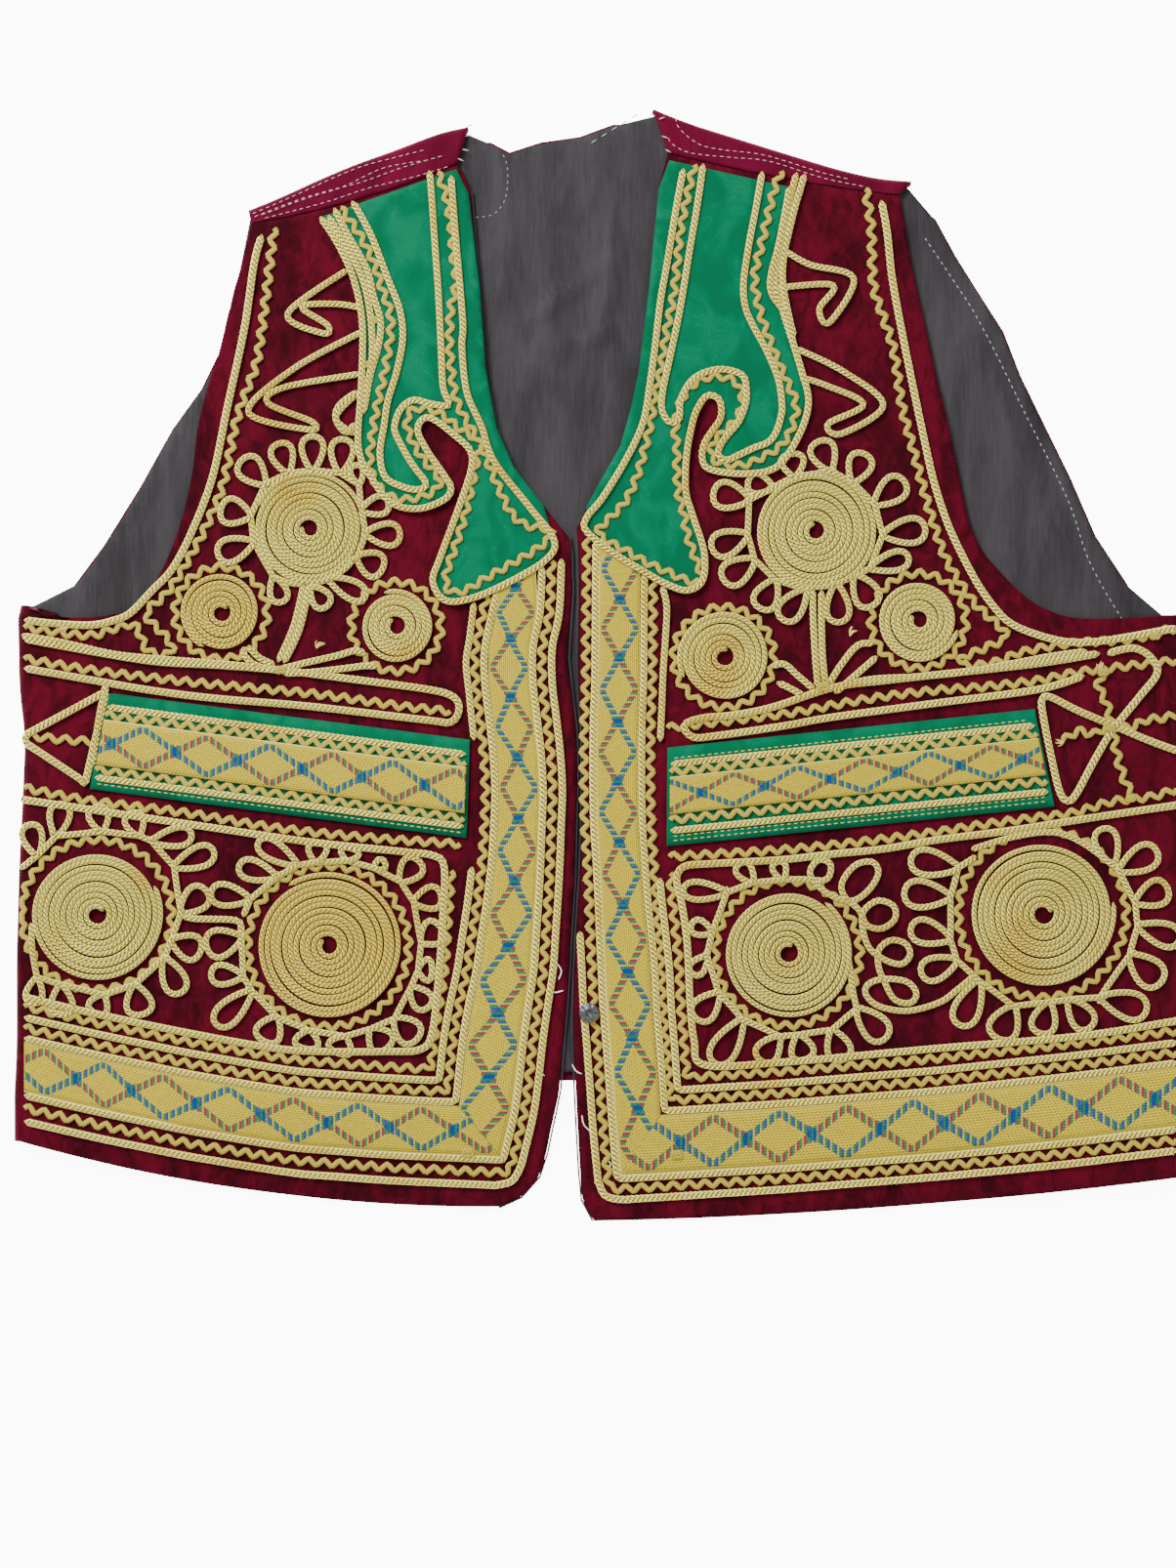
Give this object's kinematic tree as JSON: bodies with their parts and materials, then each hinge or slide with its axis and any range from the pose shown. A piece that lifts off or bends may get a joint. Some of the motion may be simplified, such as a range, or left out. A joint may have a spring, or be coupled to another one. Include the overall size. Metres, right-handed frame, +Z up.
{
  "type": "waistcoat",
  "caption": "Velvet waistcoat lying flat and open-fronted, with green lapels and pocket flaps, woven gold bands, coiled-cord rosettes and looped cord trim.",
  "frame": {"origin": "centre of the bounding box, on the table the garment lies on", "axes": "+Z up from the table, +Y to the shoulders, +X to the viewer's right"},
  "size_m": [0.5256, 0.4999, 0.0105],
  "materials": {
    "burgundy_velvet": "velvet",
    "burgundy_cotton": "plain weave",
    "charcoal_cotton": "plain weave",
    "green_velvet": "velvet",
    "gold_cord": "plaited",
    "woven_gold_band": "woven",
    "grey_metal": "worn"
  },
  "bodies": {
    "root": {"back_panel": "burgundy_cotton", "back_lining": "charcoal_cotton", "front_left": "burgundy_velvet", "lining_edge_left": "charcoal_cotton", "shoulder_left": "burgundy_cotton", "lapel_left": "green_velvet", "lapel_cord_left": "gold_cord", "band_front_left": "woven_gold_band", "band_hem_left": "woven_gold_band", "pocket_left": "green_velvet", "pocket_band_left": "woven_gold_band", "edge_cord_left": "gold_cord", "band_cord_left": "gold_cord", "inner_cord_left": "gold_cord", "frame_cord_left": "gold_cord", "armhole_cord_left": "gold_cord", "pocket_cord_left": "gold_cord", "panel_cord_left": "gold_cord", "side_motif_left": "gold_cord", "stem_left": "gold_cord", "squiggle_left_upper": "gold_cord", "squiggle_left_lower": "gold_cord", "front_right": "burgundy_velvet", "lining_edge_right": "charcoal_cotton", "shoulder_right": "burgundy_cotton", "lapel_right": "green_velvet", "lapel_cord_right": "gold_cord", "band_front_right": "woven_gold_band", "band_hem_right": "woven_gold_band", "pocket_right": "green_velvet", "pocket_band_right": "woven_gold_band", "edge_cord_right": "gold_cord", "band_cord_right": "gold_cord", "inner_cord_right": "gold_cord", "frame_cord_right": "gold_cord", "armhole_cord_right": "gold_cord", "pocket_cord_right": "gold_cord", "panel_cord_right": "gold_cord", "side_motif_right": "gold_cord", "stem_right": "gold_cord", "squiggle_right_upper": "gold_cord", "squiggle_right_lower": "gold_cord", "rosette_hem_left_side": "gold_cord", "rosette_hem_left_centre": "gold_cord", "rosette_hem_right_centre": "gold_cord", "rosette_hem_right_side": "gold_cord", "rosette_chest_left": "gold_cord", "rosette_chest_right": "gold_cord", "rosette_small_left_side": "gold_cord", "rosette_small_left_centre": "gold_cord", "rosette_small_right_centre": "gold_cord", "rosette_small_right_side": "gold_cord", "petals_hem_left_side": "gold_cord", "petals_hem_left_centre": "gold_cord", "petals_hem_right_centre": "gold_cord", "petals_hem_right_side": "gold_cord", "petals_chest_left": "gold_cord", "petals_chest_right": "gold_cord", "press_snap": "grey_metal"}
  },
  "joints": []
}
